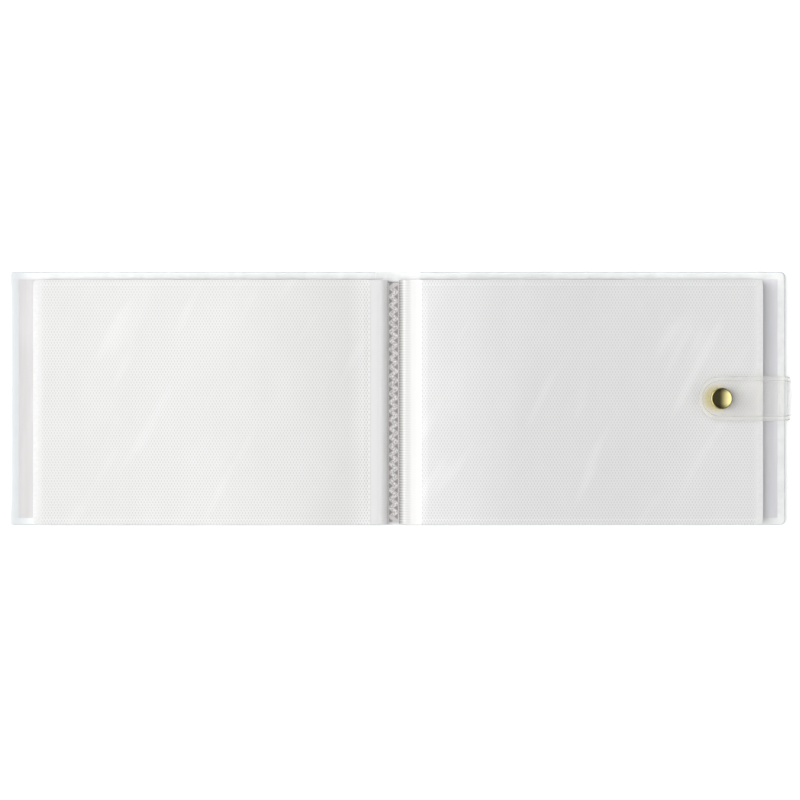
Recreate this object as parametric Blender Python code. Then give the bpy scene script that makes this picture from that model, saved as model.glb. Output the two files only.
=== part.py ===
"""Clear vinyl pocket photo album, opened flat, with a strap and a snap.

The frame: X runs across the open spread, Y up the pages, Z up from the table. The origin is
on the table, under the middle of the spine. All sizes are millimetres times MM.
"""

import math

import bmesh
import bpy
from mathutils import Vector

MM = 0.001

# Clearances
GAP = 0.3 * MM             # between two pieces that touch
HINGE_GAP = 0.25 * MM      # from a fold line to the sheet on either side of it

# Cover, one panel measured from its fold line to its fore edge
COVER_WIDTH = 168.0 * MM
COVER_MARGIN = 4.6 * MM    # how much taller the cover is than a leaf
COVER_VINYL = 0.4 * MM
BEAD_WIDTH = 3.2 * MM      # heat-sealed rim along the three free edges
BEAD_ROUND = 0.6 * MM
CORNER_RADIUS = 2.2 * MM
FLAP_WIDTH = 70.0 * MM     # pocket flap that takes the end sheet
FLAP_VINYL = 0.25 * MM
END_SHEET_CLEAR = 5.5 * MM # from the end sheet's edge to the back disc of the snap
END_SHEET_TRIM = 4.2 * MM  # how much shorter the end sheet is than a leaf
END_SHEET_THICK = 0.25 * MM

# Leaves: two films with a photo pocket between them
LEAVES = 5
FILM = 0.25 * MM
FIELD_RAISE = 0.05 * MM    # embossed field, proud of the welded border
WELD_WIDTH = 3.0 * MM
POCKET = 0.4 * MM
FORE_MARGIN = 10.6 * MM    # bare cover beyond a leaf's fore edge
LEAF_HEIGHT = 112.2 * MM
LEAF_DROP = 1.7 * MM       # the page block sits low in the cover
LEAF_CORNER = 2.0 * MM
LEAST_CORNER = 0.4 * MM    # rounding that is left on the corner of an inset field
LEFT_INSET = 2.87 * MM     # from the front fold line to the left leaves
RIGHT_INSET = 0.8 * MM     # from the back fold line to the right leaves
MARGIN_STEPS = 10

# Binding: the welded band that holds all the leaves
BINDING_WIDTH = 5.0 * MM
BINDING_SHIFT = -2.07 * MM
BINDING_TRIM = 2.2 * MM    # how much shorter the band is than a leaf
ZIGZAG_PITCH = 4.05 * MM
ZIGZAG_LINE = 2.0 * MM     # its width straight across the band
ZIGZAG_INSET = 0.2 * MM
ZIGZAG_RAISE = 0.4 * MM

# Spine web, which lies on the table along its middle
SPINE_FLAT = 4.0 * MM
SPINE_STEPS = 7            # facets from the flat to either fold line

# Strap: two plies of vinyl
STRAP_WIDTH = 20.2 * MM
STRAP_PLY = 0.5 * MM
STRAP_SLACK = 0.9 * MM     # between the cover's fore edge and the strap
STRAP_EDGE_ROUND = 0.15 * MM
STRAP_FOLD_ROUND = 1.0 * MM
STRAP_WELD = 1.9 * MM      # pressed border round the tongue
STRAP_PUFF = 0.12 * MM     # the tongue's middle, proud of that border
ANCHOR_LENGTH = 26.0 * MM
ANCHOR_CORNER = 3.0 * MM
TONGUE_TIP = 10.5 * MM     # from the snap's centre to the end of the tongue
TIP_FLAT = 0.6 * MM        # straight length left between the tip's two round corners

# Snap fastener
SNAP_INSET = 30.0 * MM     # from the cover's fore edge to the snap, strap laid on the page
CAP_DIAMETER = 10.0 * MM
CAP_HEIGHT = 1.6 * MM
CAP_RIM = 0.45 * MM
CAP_CREST = 1.2 * MM       # from the cap's edge in to its highest ring
CAP_DISH = 0.85 * MM       # how far the cap's middle lies below that ring
CAP_POST = 3.0 * MM
SOCKET_DIAMETER = 9.4 * MM
SOCKET_ROOF = 0.45 * MM
STUD_FLANGE = 8.6 * MM
STUD_FLANGE_THICK = 0.35 * MM
STUD_HEAD = 4.0 * MM
STUD_NECK = 3.4 * MM
BACK_DISC = 7.6 * MM
BACK_DISC_THICK = 0.25 * MM
BACK_SHANK = 2.4 * MM
ROUND_SEGMENTS = 40

# Heights along the pages, all from the leaf
COVER_HEIGHT = LEAF_HEIGHT + COVER_MARGIN
END_SHEET_HEIGHT = LEAF_HEIGHT - END_SHEET_TRIM
BINDING_LENGTH = LEAF_HEIGHT - BINDING_TRIM

# Heights, from the table up
STRAP_THICK = 2 * STRAP_PLY + GAP
COVER_Z = STRAP_THICK + GAP
HINGE_Z = COVER_Z + COVER_VINYL
COVER_POCKET = max(END_SHEET_THICK, BACK_DISC_THICK) + 2 * GAP
FLAP_Z = HINGE_Z + COVER_POCKET
BEAD_TOP = FLAP_Z + FLAP_VINYL
LEAF_Z = BEAD_TOP + GAP
LEAF_THICK = 2 * FILM + POCKET
LEAF_PITCH = LEAF_THICK + GAP
PAGE_TOP = LEAF_Z + (LEAVES - 1) * LEAF_PITCH + LEAF_THICK

# The snap lies on the top page, and the strap's tongue lies on the snap's socket
STUD_HEAD_HEIGHT = COVER_Z - GAP - STUD_FLANGE_THICK
SOCKET_DEPTH = STUD_HEAD_HEIGHT + GAP
SOCKET_Z = PAGE_TOP + GAP
SOCKET_TOP = SOCKET_Z + SOCKET_DEPTH + SOCKET_ROOF
TONGUE_Z = SOCKET_TOP + GAP
TONGUE_TOP = TONGUE_Z + STRAP_THICK
CAP_Z = TONGUE_TOP + GAP
SNAP_TOP = CAP_Z + CAP_HEIGHT

# Leaves and cover turn about one line, high enough to close over the strap and snap
TURN_Z = (PAGE_TOP + SNAP_TOP + GAP) / 2
HINGE_X = TURN_Z - HINGE_Z         # half the spine, so that a closed album is as thick as its spine is wide
COVER_REACH = HINGE_X + COVER_WIDTH
LEAF_REACH = COVER_REACH - FORE_MARGIN
LEFT_INNER = HINGE_X + LEFT_INSET
RIGHT_INNER = HINGE_X + RIGHT_INSET

# The strap goes round the fore edge, and moves up to the stud when the album is shut
STRAP_INSIDE = COVER_REACH + STRAP_SLACK
STRAP_OUTSIDE = STRAP_INSIDE + STRAP_THICK
TIP_CORNER = (STRAP_WIDTH - TIP_FLAT) / 2
SNAP_X = COVER_REACH - SNAP_INSET
TONGUE_END = SNAP_X - TONGUE_TIP
CLOSED_TOP = 2 * TURN_Z - COVER_Z
SOCKET_RISE = CLOSED_TOP + GAP + STUD_FLANGE_THICK + GAP - SOCKET_Z
TONGUE_HINGE_X = STRAP_OUTSIDE + STRAP_THICK - SOCKET_RISE
SOCKET_SHIFT = STRAP_INSIDE - TONGUE_HINGE_X
STUD_X = -(SNAP_X + SOCKET_SHIFT)
END_SHEET_REACH = -STUD_X - BACK_DISC / 2 - END_SHEET_CLEAR

# Binding band, just over the spine web
BINDING_LEFT = BINDING_SHIFT - BINDING_WIDTH / 2
BINDING_RIGHT = BINDING_SHIFT + BINDING_WIDTH / 2
SPINE_EDGE = HINGE_X - HINGE_GAP
BINDING_BASE = LEAVES * (FILM + GAP) + GAP

VINYL_COLOUR = (0.86, 0.87, 0.88)
FILM_COLOUR = (0.82, 0.82, 0.80)
STRAP_COLOUR = (0.84, 0.84, 0.80)
BINDING_COLOUR = (0.74, 0.74, 0.73)
BRASS_COLOUR = (0.62, 0.50, 0.20)
STEEL_COLOUR = (0.60, 0.57, 0.45)


def clear_scene():
    """Take out whatever the file opened with."""
    for obj in list(bpy.data.objects):
        bpy.data.objects.remove(obj, do_unlink=True)


def make_material(name, colour, roughness, metallic=0.0):
    """A Principled material of one piece."""
    material = bpy.data.materials.new(name)
    material.use_nodes = True
    shader = material.node_tree.nodes["Principled BSDF"]
    shader.inputs["Base Color"].default_value = (*colour, 1.0)
    shader.inputs["Roughness"].default_value = roughness
    shader.inputs["Metallic"].default_value = metallic
    return material


def hinge_line(name, x, z, parent=None):
    """An empty on a fold line along Y, which carries the pieces that turn about it."""
    empty = bpy.data.objects.new(name, None)
    bpy.context.scene.collection.objects.link(empty)
    place = Vector((x, 0.0, z))
    empty["place"] = place
    if parent:
        empty.parent = parent
        place = place - Vector(parent["place"])
    empty.location = place
    return empty


def add_piece(name, mesh_builder, material, carrier=None):
    """One named object from a bmesh in world places, hung on its hinge line where it has one."""
    bmesh.ops.recalc_face_normals(mesh_builder, faces=mesh_builder.faces)
    if carrier:
        shift = -Vector(carrier["place"])
        bmesh.ops.translate(mesh_builder, verts=mesh_builder.verts, vec=shift)
    mesh = bpy.data.meshes.new(name)
    mesh_builder.to_mesh(mesh)
    mesh_builder.free()
    mesh.materials.append(material)
    obj = bpy.data.objects.new(name, mesh)
    bpy.context.scene.collection.objects.link(obj)
    obj.parent = carrier
    return obj


def rounded_outline(x0, x1, y0, y1, left_radius=0.0, right_radius=0.0, inset=0.0, steps=6):
    """Corners of an upright rectangle, anticlockwise, with its left and right corners rounded.

    An inset outline has the same number of points as the whole one.
    """
    x0, x1, y0, y1 = x0 + inset, x1 - inset, y0 + inset, y1 - inset
    left_radius, right_radius = (
        max(radius - inset, LEAST_CORNER) if radius else 0.0 for radius in (left_radius, right_radius)
    )
    corners = (
        (x1, y1, right_radius, 0.0),
        (x0, y1, left_radius, 90.0),
        (x0, y0, left_radius, 180.0),
        (x1, y0, right_radius, 270.0),
    )
    points = []
    for x, y, radius, start in corners:
        if radius == 0.0:
            points.append((x, y))
            continue
        centre_x = x - radius if x == x1 else x + radius
        centre_y = y - radius if y == y1 else y + radius
        for step in range(steps + 1):
            angle = math.radians(start + 90.0 * step / steps)
            points.append((centre_x + radius * math.cos(angle), centre_y + radius * math.sin(angle)))
    return points


def thicken(solid, faces, along):
    """Extrude a flat patch of faces into a closed solid."""
    far = bmesh.ops.extrude_face_region(solid, geom=faces)
    moved = [item for item in far["geom"] if isinstance(item, bmesh.types.BMVert)]
    bmesh.ops.translate(solid, verts=moved, vec=along)
    bmesh.ops.recalc_face_normals(solid, faces=solid.faces)


def plate(outline, low, high):
    """A flat solid: an outline in plan, extruded from one height to another."""
    solid = bmesh.new()
    base = solid.faces.new([solid.verts.new((x, y, low)) for x, y in outline])
    thicken(solid, [base], (0.0, 0.0, high - low))
    return solid


def round_edges(solid, height, radius, segments=3):
    """Round the edges of a plate that lie at one height."""
    tolerance = 1e-3 * MM
    edges = [e for e in solid.edges if all(abs(v.co.z - height) < tolerance for v in e.verts)]
    bmesh.ops.bevel(
        solid,
        geom=edges,
        offset=radius,
        offset_type="OFFSET",
        segments=segments,
        profile=0.5,
        affect="EDGES",
        material=-1,
    )


def profile_along_y(profile, y0, y1):
    """A solid with one section in XZ, extruded along Y."""
    solid = bmesh.new()
    end = solid.faces.new([solid.verts.new((x, y0, z)) for x, z in profile])
    thicken(solid, [end], (0.0, y1 - y0, 0.0))
    return solid


def turned(profile, x, y):
    """A turned solid about an upright axis from a profile of (radius, height) that starts and ends on it."""
    solid = bmesh.new()
    points = [solid.verts.new((x + radius, y, z)) for radius, z in profile]
    edges = [solid.edges.new(pair) for pair in zip(points, points[1:])]
    bmesh.ops.spin(
        solid,
        geom=points + edges,
        cent=(x, y, 0.0),
        axis=(0.0, 0.0, 1.0),
        angle=math.tau,
        steps=ROUND_SEGMENTS,
        use_merge=True,
    )
    bmesh.ops.remove_doubles(solid, verts=solid.verts, dist=1e-3 * MM)
    bmesh.ops.dissolve_degenerate(solid, edges=solid.edges, dist=1e-4 * MM)
    return solid


def shade_round(obj):
    """Smooth shading with sharp edges kept, for turned pieces."""
    obj.data.shade_smooth()
    obj.data.set_sharp_from_angle(angle=math.radians(40.0))


def drill(obj, x, y, diameter, low, high):
    """A round hole along Z through a flat piece, by a hidden cutter."""
    cutter_mesh = turned([(0.0, high), (diameter / 2, high), (diameter / 2, low), (0.0, low)], x, y)
    cutter = add_piece(obj.name + "_hole", cutter_mesh, obj.data.materials[0], obj.parent)
    cutter.hide_render = True
    cutter.display_type = "WIRE"
    cut = obj.modifiers.new("hole", "BOOLEAN")
    cut.object = cutter
    cut.operation = "DIFFERENCE"
    cut.solver = "EXACT"


def web_top(x):
    """Height of the spine web's inner face: it hangs from the fold lines to a flat on the table."""
    half_flat = SPINE_FLAT / 2
    along = max(0.0, abs(x) - half_flat) / (SPINE_EDGE - half_flat)
    return COVER_VINYL + COVER_Z * along ** 2


def build_cover(side, name, material, disc_material, carrier):
    """One cover panel: sheet, three sealed rims, pocket flap and the end sheet in the pocket."""
    def span(near, far):
        return (near, far) if side > 0 else (-far, -near)

    fold = HINGE_X + HINGE_GAP
    rim_inside = COVER_REACH - BEAD_WIDTH
    half = COVER_HEIGHT / 2
    frame_half = half - BEAD_WIDTH - GAP
    inside = rim_inside - GAP

    sheet = plate(rounded_outline(*span(fold, inside), -frame_half, frame_half), COVER_Z, HINGE_Z)
    sheet_obj = add_piece(name + "_sheet", sheet, material, carrier)

    x0, x1 = span(rim_inside, COVER_REACH)
    radii = (0.0, CORNER_RADIUS) if side > 0 else (CORNER_RADIUS, 0.0)
    fore = plate(rounded_outline(x0, x1, -half, half, *radii), COVER_Z, BEAD_TOP)
    round_edges(fore, BEAD_TOP, BEAD_ROUND)
    add_piece(name + "_fore_rim", fore, material, carrier)
    for where, y0, y1 in (("top", half - BEAD_WIDTH, half), ("bottom", -half, BEAD_WIDTH - half)):
        rim = plate(rounded_outline(*span(fold, inside), y0, y1), COVER_Z, BEAD_TOP)
        round_edges(rim, BEAD_TOP, BEAD_ROUND)
        add_piece(f"{name}_{where}_rim", rim, material, carrier)

    flap = plate(
        rounded_outline(*span(inside - FLAP_WIDTH, inside), -frame_half, frame_half),
        FLAP_Z,
        BEAD_TOP,
    )
    add_piece(name + "_flap", flap, material, carrier)

    sheet_z = HINGE_Z + GAP
    end_span = span(HINGE_X + RIGHT_INSET, END_SHEET_REACH)
    end_half = min(END_SHEET_HEIGHT / 2, frame_half)
    radii = (0.0, LEAF_CORNER) if side > 0 else (LEAF_CORNER, 0.0)
    end_sheet = plate(
        rounded_outline(*end_span, -end_half, end_half, *radii),
        sheet_z,
        sheet_z + END_SHEET_THICK,
    )
    add_piece(name + "_end_sheet", end_sheet, disc_material, carrier)
    return sheet_obj


def build_spine(material, binding_material, carrier):
    """The arched spine web, and the welded binding band with its zigzag."""
    half_flat = SPINE_FLAT / 2
    slope = SPINE_EDGE - half_flat
    rising = [half_flat + slope * i / SPINE_STEPS for i in range(SPINE_STEPS + 1)]
    xs = [-x for x in reversed(rising)] + rising
    upper = [(x, web_top(x)) for x in xs]
    lower = [(x, z - COVER_VINYL) for x, z in reversed(upper)]
    web = profile_along_y(upper + lower, -COVER_HEIGHT / 2, COVER_HEIGHT / 2)
    add_piece("spine_web", web, material, carrier)
    build_binding(binding_material, carrier)


def build_binding(material, carrier):
    """A bar of fused film with a raised zigzag that leaves two rows of sunk triangles."""
    deepest = max(abs(BINDING_LEFT), abs(BINDING_RIGHT))
    base_top = web_top(deepest) + GAP + BINDING_BASE
    middle = -LEAF_DROP
    turns = int((BINDING_LENGTH - 2 * ZIGZAG_LINE) / (ZIGZAG_PITCH / 2))
    swing = BINDING_WIDTH / 2 - ZIGZAG_LINE / 2 - ZIGZAG_INSET
    start = middle - turns * ZIGZAG_PITCH / 4
    line = []
    for i in range(turns + 1):
        line.append((BINDING_SHIFT + (swing if i % 2 else -swing), start + i * ZIGZAG_PITCH / 2))
    ends = [(line[0][0], middle - BINDING_LENGTH / 2), (line[-1][0], middle + BINDING_LENGTH / 2)]

    solid = bmesh.new()
    half = ZIGZAG_LINE / 2
    rows = []
    for x, y in [ends[0], *line, ends[1]]:
        across = (BINDING_LEFT, x - half, x + half, BINDING_RIGHT)
        rows.append([solid.verts.new((place, y, base_top)) for place in across])
    ridge = []
    for step, (below, above) in enumerate(zip(rows, rows[1:])):
        for column in range(3):
            corners = (below[column], below[column + 1], above[column + 1], above[column])
            face = solid.faces.new(corners)
            if column == 1 and 0 < step <= turns:
                ridge.append(face)
    thicken(solid, list(solid.faces), (0.0, 0.0, -BINDING_BASE))
    thicken(solid, ridge, (0.0, 0.0, ZIGZAG_RAISE))
    bmesh.ops.delete(solid, geom=ridge, context="FACES")
    add_piece("binding_strip", solid, material, carrier)


def loft(rings):
    """A closed solid through rings of points, with the same number of points in each."""
    solid = bmesh.new()
    loops = [[solid.verts.new(point) for point in ring] for ring in rings]
    for low, high in zip(loops, loops[1:]):
        for i in range(len(low)):
            solid.faces.new((low[i - 1], low[i], high[i], high[i - 1]))
    solid.faces.new(loops[0])
    solid.faces.new(loops[-1])
    return solid


def raised_plate(extent, radii, levels):
    """A plate whose face rises in steps: levels are pairs of an inset from its edge and a height."""
    rings = []
    for inset, z in levels:
        outline = rounded_outline(*extent, *radii, inset=inset)
        rings.append([(x, y, z) for x, y in outline])
    return loft(rings)


def build_leaf(side, number, material, carrier):
    """One leaf: a lower and an upper film, a photo pocket apart."""
    inner = RIGHT_INNER if side > 0 else LEFT_INNER
    x0, x1 = (inner, LEAF_REACH) if side > 0 else (-LEAF_REACH, -inner)
    radii = (0.0, LEAF_CORNER) if side > 0 else (LEAF_CORNER, 0.0)
    y0 = -LEAF_DROP - LEAF_HEIGHT / 2
    extent = (x0, x1, y0, y0 + LEAF_HEIGHT)
    name = f"{'right' if side > 0 else 'left'}_leaf_{number}"
    low = LEAF_Z + (number - 1) * LEAF_PITCH
    top = low + LEAF_THICK
    films = (("lower", low + FILM, low, 1), ("upper", top - FILM, top, -1))
    for film, inside, outside, inward in films:
        border = outside + inward * FIELD_RAISE
        levels = ((0.0, inside), (0.0, border), (WELD_WIDTH, border), (WELD_WIDTH, outside))
        add_piece(f"{name}_{film}_film", raised_plate(extent, radii, levels), material, carrier)


def build_margin(side, number, material, carrier):
    """The plain inner margin of a leaf, a soft strip that dips from the pocket to the binding band."""
    inner_z = web_top(max(abs(BINDING_LEFT), abs(BINDING_RIGHT))) + GAP + GAP / 2
    inner_z += (number - 1) * (FILM + GAP)
    outer_z = LEAF_Z + (number - 1) * LEAF_PITCH + (LEAF_THICK - FILM) / 2
    if side > 0:
        start, end = BINDING_RIGHT + GAP, RIGHT_INNER - GAP
    else:
        start, end = BINDING_LEFT - GAP, -LEFT_INNER + GAP
    lower = []
    for step in range(MARGIN_STEPS + 1):
        t = step / MARGIN_STEPS
        rise = t * t * (3.0 - 2.0 * t)
        lower.append((start + (end - start) * t, inner_z + (outer_z - inner_z) * rise))
    upper = [(x, z + FILM) for x, z in reversed(lower)]
    middle = -LEAF_DROP
    strip = profile_along_y(lower + upper, middle - LEAF_HEIGHT / 2, middle + LEAF_HEIGHT / 2)
    name = f"{'right' if side > 0 else 'left'}_leaf_{number}_margin"
    add_piece(name, strip, material, carrier)


def build_strap(material, riser_line, bridge_line, tongue_line):
    """The strap: welded anchor, riser round the fore edge, bridge, and a tongue of two plies."""
    half = STRAP_WIDTH / 2
    anchor_end = STRAP_INSIDE - GAP
    outline = rounded_outline(anchor_end - ANCHOR_LENGTH, anchor_end, -half, half, ANCHOR_CORNER)
    add_piece("strap_anchor", plate(outline, 0.0, STRAP_THICK), material)

    section = rounded_outline(STRAP_INSIDE, STRAP_OUTSIDE, 0.0, TONGUE_TOP, 0.0, STRAP_FOLD_ROUND)
    riser = profile_along_y(section, -half, half)
    add_piece("strap_riser", riser, material, riser_line)

    bridge = plate(
        rounded_outline(TONGUE_HINGE_X + HINGE_GAP, anchor_end, -half, half),
        TONGUE_Z,
        TONGUE_TOP,
    )
    add_piece("strap_bridge", bridge, material, bridge_line)

    extent = (TONGUE_END, TONGUE_HINGE_X - HINGE_GAP, -half, half)
    inner_top = TONGUE_Z + STRAP_PLY
    outer_low = TONGUE_TOP - STRAP_PLY
    border = TONGUE_TOP - STRAP_PUFF
    plies = (
        ("inner", ((0.0, TONGUE_Z), (0.0, inner_top))),
        (
            "outer",
            (
                (0.0, outer_low),
                (0.0, border - STRAP_EDGE_ROUND),
                (STRAP_EDGE_ROUND, border),
                (STRAP_WELD, border),
                (STRAP_WELD, TONGUE_TOP),
            ),
        ),
    )
    for name, levels in plies:
        ply = raised_plate(extent, (TIP_CORNER, 0.0), levels)
        ply_obj = add_piece(f"strap_{name}_ply", ply, material, tongue_line)
        hole = CAP_POST + 2 * GAP
        drill(ply_obj, SNAP_X, 0.0, hole, levels[0][1] - STRAP_PLY, levels[-1][1] + STRAP_PLY)


def dish(radius, high, depth, steps=6):
    """A profile from the crest of a shallow dish in to its middle on the axis."""
    points = []
    for step in range(steps + 1):
        outward = 1.0 - step / steps
        points.append((radius * outward, high - depth * (1.0 - outward ** 2)))
    return points


def build_snap(brass, steel, tongue_line, cover_line):
    """Cap and socket on the tongue, stud and back disc on the front cover."""
    cap_r = CAP_DIAMETER / 2
    post_r = CAP_POST / 2
    cap = [(0.0, TONGUE_Z), (post_r, TONGUE_Z), (post_r, CAP_Z), (cap_r - CAP_RIM / 2, CAP_Z)]
    cap += [(cap_r, CAP_Z + CAP_RIM / 2), (cap_r, SNAP_TOP - CAP_RIM)]
    cap += [(cap_r - CAP_RIM, SNAP_TOP - CAP_RIM / 4)]
    cap += dish(cap_r - CAP_CREST, SNAP_TOP, CAP_DISH)
    shade_round(add_piece("snap_cap", turned(cap, SNAP_X, 0.0), brass, tongue_line))

    hole_r = STUD_HEAD / 2 + GAP
    socket_r = SOCKET_DIAMETER / 2
    chamfer = SOCKET_ROOF / 2
    socket = [
        (0.0, SOCKET_Z + SOCKET_DEPTH),
        (hole_r, SOCKET_Z + SOCKET_DEPTH),
        (hole_r, SOCKET_Z),
        (socket_r - chamfer, SOCKET_Z),
        (socket_r, SOCKET_Z + chamfer),
        (socket_r, SOCKET_TOP - chamfer),
        (socket_r - chamfer, SOCKET_TOP),
        (0.0, SOCKET_TOP),
    ]
    shade_round(add_piece("snap_socket", turned(socket, SNAP_X, 0.0), steel, tongue_line))

    head_r = STUD_HEAD / 2
    flange_r = STUD_FLANGE / 2
    stud_top = COVER_Z - GAP
    stud = [
        (0.0, 0.0),
        (STUD_NECK / 2, 0.0),
        (head_r, STUD_HEAD_HEIGHT * 0.3),
        (head_r, STUD_HEAD_HEIGHT * 0.55),
        (STUD_NECK / 2, STUD_HEAD_HEIGHT),
        (flange_r, STUD_HEAD_HEIGHT),
        (flange_r, stud_top),
        (0.0, stud_top),
    ]
    shade_round(add_piece("snap_stud", turned(stud, STUD_X, 0.0), steel, cover_line))

    disc_z = HINGE_Z + GAP
    disc_r = BACK_DISC / 2
    shank_r = BACK_SHANK / 2
    disc = [
        (0.0, COVER_Z),
        (shank_r, COVER_Z),
        (shank_r, disc_z),
        (disc_r, disc_z),
        (disc_r, disc_z + BACK_DISC_THICK),
        (0.0, disc_z + BACK_DISC_THICK),
    ]
    shade_round(add_piece("snap_back_disc", turned(disc, STUD_X, 0.0), steel, cover_line))


def main():
    clear_scene()
    vinyl = make_material("clear_vinyl", VINYL_COLOUR, 0.12)
    film = make_material("embossed_film", FILM_COLOUR, 0.35)
    strap = make_material("strap_vinyl", STRAP_COLOUR, 0.15)
    binding = make_material("fused_film", BINDING_COLOUR, 0.4)
    brass = make_material("polished_brass", BRASS_COLOUR, 0.15, 1.0)
    steel = make_material("plated_steel", STEEL_COLOUR, 0.25, 1.0)

    spine_line = hinge_line("spine_fold_line", HINGE_X, HINGE_Z)
    cover_line = hinge_line("cover_fold_line", -HINGE_X, HINGE_Z, spine_line)
    riser_line = hinge_line("strap_swing_line", STRAP_OUTSIDE, 0.0)
    bridge_line = hinge_line("strap_reach_line", STRAP_OUTSIDE, TONGUE_TOP, riser_line)
    tongue_line = hinge_line("strap_tip_line", TONGUE_HINGE_X, TONGUE_Z, bridge_line)

    build_cover(1, "back_cover", vinyl, film, None)
    front_sheet = build_cover(-1, "front_cover", vinyl, film, cover_line)
    drill(front_sheet, STUD_X, 0.0, BACK_SHANK + 2 * GAP, COVER_Z - COVER_VINYL, HINGE_Z + COVER_VINYL)
    build_spine(vinyl, binding, spine_line)

    turn_line = cover_line
    for number in range(1, LEAVES + 1):
        turn_line = hinge_line(f"leaf_turn_line_{number}", 0.0, TURN_Z, turn_line)
        build_leaf(-1, number, film, turn_line)
        build_margin(-1, number, film, cover_line)
        build_leaf(1, number, film, None)
        build_margin(1, number, film, None)

    build_strap(strap, riser_line, bridge_line, tongue_line)
    build_snap(brass, steel, tongue_line, cover_line)


main()
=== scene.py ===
"""Looks of a clear vinyl pocket photo album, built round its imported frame.

The album lies open on a white table. X runs across the spread, Y up the pages, Z up from the table.
"""

import math

import bmesh
import bpy
from bpy.props import FloatProperty, FloatVectorProperty, PointerProperty
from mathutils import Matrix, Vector


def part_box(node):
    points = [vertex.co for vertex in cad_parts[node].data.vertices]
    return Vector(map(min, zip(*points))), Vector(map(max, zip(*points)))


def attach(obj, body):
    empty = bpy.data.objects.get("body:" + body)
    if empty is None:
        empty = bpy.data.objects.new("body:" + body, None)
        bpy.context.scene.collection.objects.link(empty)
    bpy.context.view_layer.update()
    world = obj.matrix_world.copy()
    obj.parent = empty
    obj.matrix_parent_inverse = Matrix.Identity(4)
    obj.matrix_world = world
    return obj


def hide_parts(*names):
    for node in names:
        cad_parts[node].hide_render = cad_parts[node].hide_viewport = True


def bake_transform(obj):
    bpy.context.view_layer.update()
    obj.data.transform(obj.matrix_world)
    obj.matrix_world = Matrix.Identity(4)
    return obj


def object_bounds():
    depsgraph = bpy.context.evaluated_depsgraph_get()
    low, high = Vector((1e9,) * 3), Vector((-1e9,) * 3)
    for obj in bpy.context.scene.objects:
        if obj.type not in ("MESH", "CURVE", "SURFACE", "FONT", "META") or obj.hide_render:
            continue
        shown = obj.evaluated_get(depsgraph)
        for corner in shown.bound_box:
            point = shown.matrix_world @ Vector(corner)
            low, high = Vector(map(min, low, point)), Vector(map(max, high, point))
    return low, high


bl_info = {
    "name": "Pocket photo album",
    "version": (1, 0, 0),
    "blender": (4, 5, 0),
    "location": "View3D > Sidebar > Album",
    "description": "Dresses the frame of a clear vinyl pocket photo album",
    "category": "Object",
}

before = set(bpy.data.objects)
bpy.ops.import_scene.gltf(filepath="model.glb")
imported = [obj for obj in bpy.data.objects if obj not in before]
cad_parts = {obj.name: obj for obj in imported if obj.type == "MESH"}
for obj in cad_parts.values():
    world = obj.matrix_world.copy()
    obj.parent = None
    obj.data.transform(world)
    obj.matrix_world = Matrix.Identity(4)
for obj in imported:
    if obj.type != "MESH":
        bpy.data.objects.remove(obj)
CAD_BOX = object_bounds()

MM = 0.001
LEAVES = sum(name.startswith("right_leaf_") and name.endswith("_margin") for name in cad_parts)


def span(*nodes):
    """Lowest and highest corner of several CAD nodes together."""
    boxes = [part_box(node) for node in nodes]
    low = Vector(min(box[0][axis] for box in boxes) for axis in range(3))
    high = Vector(max(box[1][axis] for box in boxes) for axis in range(3))
    return low, high


def leaf_nodes(side, number):
    """The two films of one leaf."""
    return [f"{side}_leaf_{number}_{film}_film" for film in ("lower", "upper")]


def cover_nodes(name):
    """The sheet and the three rims of one cover."""
    return [f"{name}_{part}" for part in ("sheet", "fore_rim", "top_rim", "bottom_rim")]


def linear(code):
    """A linear colour from an sRGB hex code."""
    values = [int(code[i:i + 2], 16) / 255.0 for i in (1, 3, 5)]
    return tuple(v / 12.92 if v <= 0.04045 else ((v + 0.055) / 1.055) ** 2.4 for v in values)


def ease(t):
    """A smooth step from 0 to 1."""
    t = min(max(t, 0.0), 1.0)
    return t * t * (3.0 - 2.0 * t)


# Places that several pieces share, all read from the frame
PAGE_LOW, PAGE_HIGH = span(*leaf_nodes("right", 1))
PAGE_INNER = {"right": PAGE_LOW.x, "left": -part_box("left_leaf_1_lower_film")[1].x}
PAGE_OUTER = PAGE_HIGH.x
PAGE_BOTTOM, PAGE_TOP = PAGE_LOW.y, PAGE_HIGH.y
BINDING_LOW, BINDING_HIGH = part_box("binding_strip")
WEB_LOW, WEB_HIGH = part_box("spine_web")
LEAF_LEVELS = {
    (side, number): [corner.z for corner in span(*leaf_nodes(side, number))]
    for side in ("left", "right") for number in range(1, LEAVES + 1)
}
MARGIN_FEET = {key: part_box("{}_leaf_{}_margin".format(*key))[0].z for key in LEAF_LEVELS}

# Sizes that the frame doesn't hold
FILM = 0.25 * MM
PAGE_CORNER = 2.0 * MM
PAGE_ARCH = 9.48    # brings the crest of a page, a quarter of the way out, up to its lift
FLAT_SHARE = 0.06    # of the left page, which lies flat beside its margin
MARGIN_SPLIT = 10.0 * MM    # where a left margin passes from the spine's share to the leaf's
MARGIN_FALL = 7    # how steeply a margin falls to the band
MARGIN_STEP = 0.09 * MM    # from the foot of one margin up to the next
MARGIN_GAP = 0.05 * MM    # between a margin and the band
ZIGZAG_PITCH = 4.05 * MM
ZIGZAG_LINE = 2.0 * MM
ZIGZAG_SWING = 1.3 * MM    # of its middle line, to either side of the band's
COVER_CORNER = 2.6 * MM
# How far a cover's seal spreads past its cut edge, runs in under the flap, and flares at the corners
COVER_SEAL = {"front": (1.7 * MM, 1.0 * MM, 1.2 * MM), "back": (0.5 * MM, 0.7 * MM, 0.1 * MM)}
SAME_PLACE = 0.01 * MM    # places closer than this count as one
MERGE = 1e-4 * MM    # and so do cuts and vertices closer than this
SHARP_ANGLE = math.radians(40.0)


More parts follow.
